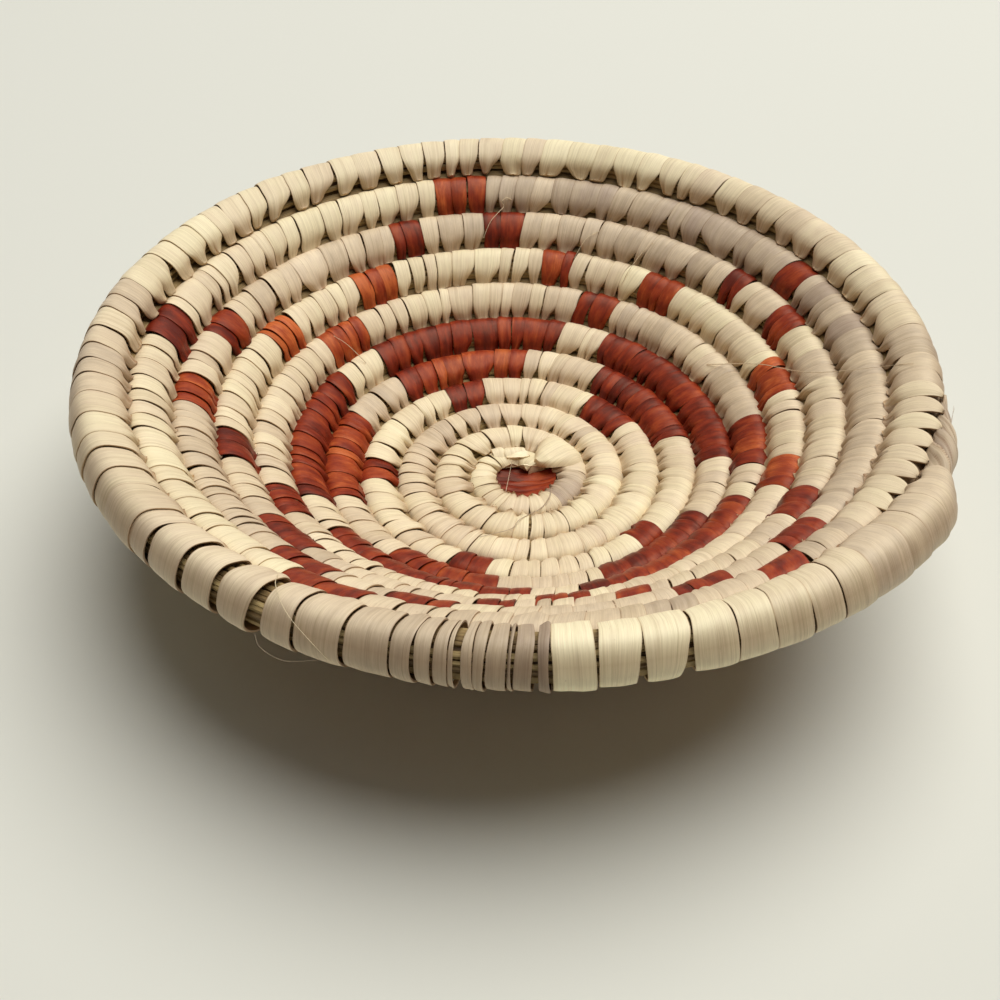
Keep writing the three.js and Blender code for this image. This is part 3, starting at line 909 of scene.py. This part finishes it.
def grass_bundle():
    """Stems side by side round a packed core, along the whole coil. Their ends are uneven at the tail."""
    rng = np.random.default_rng(STEM_SEED)
    tip = mix(NECK_TURN, TAIL_TURN, STEM_END)
    turns = [START_TURN]
    while turns[-1] < tip:
        step = STEM_STEP if turns[-1] < END_TURN else STEM_STEP / 3
        turns.append(turns[-1] + turns_for(step, turns[-1]))
    turns = np.array(turns)
    width, depth, shift = [values[:, None] for values in coil_half(turns)]
    shrink = width / half_width(turns)[:, None]
    dip = START_DIP * (1 - smooth(*START_GROWS, turns))[:, None]
    along = (np.arange(len(turns)) * STEM_STEP)[:, None]
    build = Build()
    sides = circle(6)
    for index in range(STEM_COUNT):
        psi = (math.tau * index / STEM_COUNT + wavering(rng, turns, STEM_BENDS, STEM_WANDER))[:, None]
        swell = wavering(rng, turns, STEM_SWELLS, 1)[:, None]
        size = STEM_RADIUS * (1 + STEM_SWELL * swell) * shrink
        inset = STEM_INSET * shrink + rng.uniform(0, 0.2)
        out = shift - (width - inset) * np.cos(psi) + size * np.cos(sides)
        up = (depth - inset - dip * (np.sin(psi) > 0)) * np.sin(psi) + size * np.sin(sides)
        keep = turns < tip - turns_for(rng.uniform(*STEM_RAGGED), tip)
        points = on_coil(turns[keep, None], out[keep], up[keep])
        grain = stacked((size * sides)[keep], along[keep], float(index))
        build.grid(points[None], grain, (rng.uniform(*STEM_TONES), 1.0, 0.0))

    ring = circle(12)
    body = turns < tip
    out = (shift - (width - CORE_INSET * shrink) * np.cos(ring))[body]
    up = ((depth - CORE_INSET * shrink - dip) * np.sin(ring))[body]
    points = on_coil(turns[body, None], out, up)
    build.grid(points[None], stacked(ring * 3.0, along[body], 50.0), (CORE_TONE, 1.0, 0.0))

    valley = turns[(turns > VALLEY_START) & body][:, None]
    out = -half_width(valley) - ROW_GAP / 2 + VALLEY_WIDTH / 2 * np.cos(sides)
    points = on_coil(valley, out, VALLEY_DEPTH / 2 * np.sin(sides))
    grain = stacked(sides * 4.0, along[:len(valley)], 60.0)
    build.grid(points[None], grain, (VALLEY_TONE, 1.0, 0.0))
    settle(build.piece("grass_stems", grass), "foundation_coil")


# The knot, the tail and the loose ends
KNOT_RADIUS = 9.5
KNOT_X = 1.2
KNOT_Y = 0.3
KNOT_FLOOR = 2.3
KNOT_PROFILE = [(0.3, 0.02), (5.2, 0.02), (6.6, 0.7), (KNOT_RADIUS - 1, KNOT_FLOOR - 0.6),
                (0.3, KNOT_FLOOR - 0.7)]  # radius and height
KNOT_BANDS = 6
KNOT_SPREAD = 0.74
KNOT_WIDTHS = (3.4, 4.6)
KNOT_TURNED = (-0.16, 0.16)
KNOT_BEND = 0.35
KNOT_DISH = 0.018
KNOT_STEP = 0.14  # from one band's height to the next
KNOT_TILT = 0.22
KNOT_DENT = 0.1
KNOT_TONE = 0.1
KNOT_TONE_RISE = 0.35  # lighter at the right
TAIL_WINDS = 2  # leaves twisted round it side by side
TAIL_TWIST = 0.19  # radians for each millimetre
TAIL_STEP = 0.75  # height of a leaf's edge over the next
TAIL_TONE = 0.12
TAIL_SHADE = 0.93
TAIL_RISE = 1.3  # against the row inside
TAIL_REACH = 3.5  # half its width at the neck
TAIL_DEPTH = 2.9  # and half its height
TAIL_POINT = (0.7, 0.8)  # both at the tip
TAIL_CREASES = 3.5
TAIL_CREASE = 0.3
TAIL_LUMP = 0.22
NECK_EDGES = (0, 0.36, 0.72, 1.06)  # of the last wraps, as parts of the neck
NECK_GAPS = (0.3, 0.1)
NECK_TONES = (0.5, 0.45, 0.3)
NECK_SHADES = (1.0, 0.98, 0.94)
NECK_TIPS = (0.7, 0.7, 0.8)
NECK_SHARE = 0.62  # where the twisted leaf begins

# Loose fibres: radius, tone and points, each with its row, its degree, its angle round the coil and its lift
FIBRES = [
    (0.16, 0.75, [(10, 89.6, 60, 0.1), (10, 90.6, 66, 0.9), (10, 91.6, 56, 1.1), (10, 91.2, 40, 0.8),
                  (9, 92.7, 120, 0.8), (9, 94.4, 95, 0.6), (9, 96.2, 55, 0.2)]),
    (0.13, 0.6, [(7, 25.9, 90, 0.1), (8, 13.4, 90, 1.0), (9, 1.0, 95, 0.8), (10, 350.2, 100, 0.2)]),
    (0.1, 0.8, [(11, 239.5, 80, 0.0), (11, 241.5, 120, 0.7), (11, 244.4, 165, 0.9), (11, 249, 215, 0.3)]),
    (0.06, 0.1, [(11, 240.5, 214, 0.1), (11, 241.5, 228, 1.6), (11, 244.5, 228, 2.2), (11, 248, 214, 0.5)]),
    (0.1, 0.35, [(1, 243, 50, 0.1), (1, 110, 50, 0.1)]),
    (0.15, 0.1, [(1, 318, 60, 0.2), (1, 303, 95, 0.5), (1, 288, 130, 0.5), (2, 268, 90, 0.4),
                 (2, 262, 125, 0.5), (3, 248, 90, 0.1)]),
    (0.06, 0.1, [(11, 338.0, 120, -5.0), (11, 340.2, 135, -3.4), (11, 342.0, 140, -2.4)]),
    (0.06, 0.1, [(11, 339.0, 115, -5.0), (11, 341.0, 120, -3.6), (11, 342.8, 125, -2.9)]),
    (0.12, 0.7, [(8, 61, 70, 0.1), (8, 60.2, 110, 1.0), (9, 58.5, 80, 0.7), (9, 57.5, 100, 0.1)]),
    (0.12, 0.6, [(6, 141, 100, 0.1), (7, 142.5, 75, 0.9), (7, 143.6, 110, 0.2)]),
    (0.12, 0.75, [(9, 70, 95, 0.1), (9, 72.5, 70, 1.1), (8, 74.5, 110, 0.2)]),
]
FIBRE_SHADE = 0.95
FIBRE_TAPER = 0.5
FIBRE_SIDE = (0.31, 0.2, 0.93)  # no fibre runs in this direction


def knot():
    """A plug of leaf in the hollow that the coil starts round, under folded bands that run left to right."""
    rng = np.random.default_rng(KNOT_SEED)
    build = Build()
    around = circle(36)
    points = []
    for radius, z in KNOT_PROFILE:
        points.append(stacked(KNOT_X + radius * np.cos(around), KNOT_Y + radius * np.sin(around), z))
    points = np.stack(points)
    # the plug under the bands is painted darker and browner: painted shade
    build.grid(points[None], points * 0.5, (KNOT_TONE, 0.9, 0.3))

    across, inner = across_strip(np.linspace(-1, 1, 9), 0.96)
    along = np.linspace(-1, 1, 25)[:, None]
    for index in range(KNOT_BANDS):
        side = mix(KNOT_SPREAD, -KNOT_SPREAD, index / (KNOT_BANDS - 1)) * KNOT_RADIUS
        reach = math.sqrt(KNOT_RADIUS ** 2 - side ** 2)
        width = rng.uniform(*KNOT_WIDTHS)
        turned = rng.uniform(*KNOT_TURNED)
        x = along * reach + 0 * across
        bend = KNOT_BEND * np.sin(along * rng.uniform(2, 4) + rng.uniform(*ANY_PHASE))
        y = side + across * width / 2 + bend
        dish = KNOT_DISH * (x ** 2 + y ** 2)
        crumple = rng.uniform(0.1, 0.3) * np.cos(across * rng.uniform(2, 5) + along * rng.uniform(-1, 1))
        dents = KNOT_DENT * np.sin(x * rng.uniform(0.4, 0.9) + rng.uniform(*ANY_PHASE)) * np.cos(y * 1.2)
        z = KNOT_FLOOR + KNOT_STEP * (index % 3) + KNOT_TILT * across + dish + crumple + dents
        spun_x = x * math.cos(turned) - y * math.sin(turned)
        spun_y = x * math.sin(turned) + y * math.cos(turned)
        points = stacked(KNOT_X + spun_x, KNOT_Y + spun_y, z - inner * LEAF_THICKNESS)
        tone = KNOT_TONE + KNOT_TONE_RISE * smooth(-0.8, 0.6, x / KNOT_RADIUS)
        grain = stacked(across * width / 2, x, rng.uniform(*GRAIN_STARTS))
        # painted shade along the band's edges
        painted_shade = (np.abs(across) > EDGE_PLACE) * 0.5
        build.grid(points[None], grain, stacked(tone, 1.0, painted_shade))
    settle(build.piece("start_knot_leaf", russet_leaf), "start_knot")


def tail():
    """The last wraps, over the coil's narrowing neck, and the twisted leaf round its tapered end."""
    rng = np.random.default_rng(TAIL_SEED)
    build = Build()
    edges = END_TURN + np.array(NECK_EDGES) * NECK_LENGTH
    before, after = [turns_for(gap, END_TURN) for gap in NECK_GAPS]
    wrap_strips(build, rng, edges[:-1] + before, edges[1:] - after, NECK_TONES, NECK_SHADES, NECK_TIPS, 0)

    share = np.linspace(0, 1, 60)[:, None]
    ring = circle(72)
    begin = mix(END_TURN, NECK_TURN, NECK_SHARE)
    turn = mix(begin, TAIL_TURN, share)
    run = share * (TAIL_TURN - begin) * math.tau * radius_at(begin)
    twist = ring + TAIL_TWIST * run + 0.12 * np.sin(run * 0.45 + ring)
    phase = (TAIL_WINDS * twist / math.tau) % 1
    crease = np.abs(np.cos(TAIL_CREASES * twist + 0.7 * np.sin(run * 0.5 + 2 * ring)))
    narrow = mix(1, 0.35, share)
    reach = mix(TAIL_REACH, TAIL_POINT[0], smooth(0.1, 1, share))
    depth = mix(TAIL_DEPTH, TAIL_POINT[1], smooth(0.2, 1, share))
    swell = (TAIL_STEP * (phase - 0.5) + TAIL_CREASE * (crease ** 0.6 - 0.7)) * narrow
    swell = swell + TAIL_LUMP * np.sin(run * 0.8 + 2 * ring) * narrow
    middle = reach - half_width(turn) - 0.9
    out = middle - (reach + swell) * rounded(np.cos(ring), SQUARENESS)
    up = (depth + swell) * np.sin(ring) + TAIL_RISE * smooth(0, 0.3, share)
    points = on_coil(turn, out, up)
    # painted shade in the creases and under each wound leaf's edge; the tone rises across each wound leaf and
    # falls towards the tip
    painted_shade = np.clip(0.75 * (1 - crease) ** 3 + 0.9 * np.clip(1 - phase / 0.08, 0, 1), 0, 1)
    look = stacked(TAIL_TONE + 0.3 * phase - 0.15 * share, TAIL_SHADE, painted_shade)
    build.grid(points[None], stacked(twist * 2.6, run, 7.0), look)
    settle(build.piece("tail_leaf", natural_leaf, 35), "tail_wrap")


def loose_fibres():
    build = Build()
    ring = circle(5)[:, None]
    for radius, tone, stops in FIBRES:
        places = []
        for row, degrees, psi, lift in stops:
            turn = np.array(row - 1 + degrees / 360)
            places.append(on_coil(turn, *on_section(turn, math.radians(psi), lift)))
        line = through(np.array(places), 10)
        ahead = unit(np.gradient(line, axis=0))
        side = unit(np.cross(ahead, FIBRE_SIDE))
        other = np.cross(ahead, side)
        size = radius * mix(1.0, FIBRE_TAPER, np.linspace(0, 1, len(line)))[:, None, None]
        points = line[:, None] + size * (side[:, None] * np.cos(ring) + other[:, None] * np.sin(ring))
        build.grid(points[None], points, (tone, FIBRE_SHADE, 0.0))
    fibres = build.piece("loose_fibres", natural_leaf)
    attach(fibres, "root")


for row in range(1, LAST_ROW + 1):
    natural_row(row)
for index, name in enumerate(sorted(russets)):
    russet_block(name, index)
grass_bundle()
knot()
tail()
loose_fibres()


# Stage
def make_camera():
    data = bpy.data.cameras.new("photo_camera")
    data.sensor_width = SENSOR_WIDTH
    data.lens = PHOTO_FOCAL_PIXELS / PHOTO_PIXELS * SENSOR_WIDTH
    camera = add_object("photo_camera", data)
    azimuth, elevation = math.radians(CAMERA_AZIMUTH), math.radians(CAMERA_ELEVATION)
    back = Vector((math.sin(azimuth) * math.cos(elevation), -math.cos(azimuth) * math.cos(elevation),
                   math.sin(elevation)))
    camera.location = (Vector(CAMERA_TARGET) + back * CAMERA_DISTANCE) * MM
    camera.rotation_euler = (-back).to_track_quat("-Z", "Y").to_euler()
    data.clip_start, data.clip_end = CAMERA_CLIP
    bpy.context.scene.camera = camera


def make_stage():
    mesh = bpy.data.meshes.new("floor")
    corners = [(FLOOR_HALF * x, FLOOR_HALF * y, 0) for x, y in ((-1, -1), (1, -1), (1, 1), (-1, 1))]
    mesh.from_pydata(corners, [], [(0, 1, 2, 3)])
    floor = add_object("floor", mesh)
    material, _, shader = new_material("pale_floor")
    shader.inputs["Base Color"].default_value = (*linear(226, 226, 216), 1)
    shader.inputs["Roughness"].default_value = 0.9
    shader.inputs["Specular IOR Level"].default_value = 0.1
    mesh.materials.append(material)


def area_light(name, place, size, power, colour):
    data = bpy.data.lights.new(name, "AREA")
    data.shape = "DISK"
    data.size = size
    data.energy = power
    data.color = colour
    lamp = add_object(name, data)
    lamp.location = place
    lamp.rotation_euler = (Vector(LIGHT_TARGET) - Vector(place)).to_track_quat("-Z", "Y").to_euler()


def make_light():
    area_light("window", (0.6, 0.54, 2.5), size=2.7, power=86, colour=(1.0, 0.985, 0.955))
    area_light("fill", (-0.5, -0.6, 3.0), size=1.4, power=2, colour=(1.0, 0.99, 0.97))
    world = bpy.data.worlds.new("studio")
    world.use_nodes = True
    tree = world.node_tree
    background = tree.nodes["Background"]
    background.inputs["Color"].default_value = (*WORLD_COLOUR, 1)
    rays = node(tree, "ShaderNodeLightPath").outputs
    seen = rays["Is Camera Ray"]
    for kind in ("Is Glossy Ray", "Is Transmission Ray"):
        seen = maths(tree, "MAXIMUM", seen, rays[kind])
    strength = spread(tree, seen, 0.0, 1.0, WORLD_LIGHT, WORLD_SEEN)
    tree.links.new(strength, background.inputs["Strength"])
    bpy.context.scene.world = world


make_camera()
make_stage()
make_light()
bpy.context.scene.view_settings.view_transform = "Standard"
